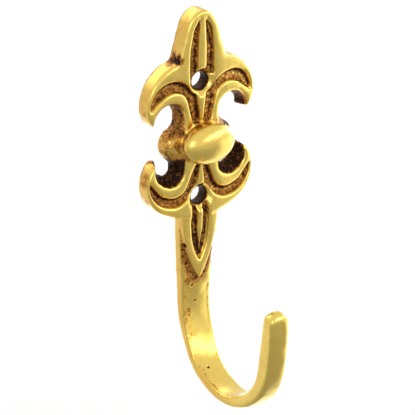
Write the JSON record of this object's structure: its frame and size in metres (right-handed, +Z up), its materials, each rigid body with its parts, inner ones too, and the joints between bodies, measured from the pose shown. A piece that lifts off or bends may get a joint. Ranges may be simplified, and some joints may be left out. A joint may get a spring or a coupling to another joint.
{
  "type": "curtain tieback hook",
  "caption": "Cast curtain tieback hook: a relief fleur-de-lis wall plate with screw holes and an oval boss, running down into a tapering J hook.",
  "frame": {"origin": "on the flat back face that lies on the wall, halfway between the two screw holes", "axes": "+Y points into the wall, so the front faces -Y; +Z is up; +X is to the right of someone who faces the wall"},
  "size_m": [0.0322, 0.0391, 0.0997],
  "materials": {
    "brass": "antique brass: hand polished high parts, dark brown patina in the recesses"
  },
  "bodies": {
    "root": {"tieback_hook": "brass"}
  },
  "joints": []
}
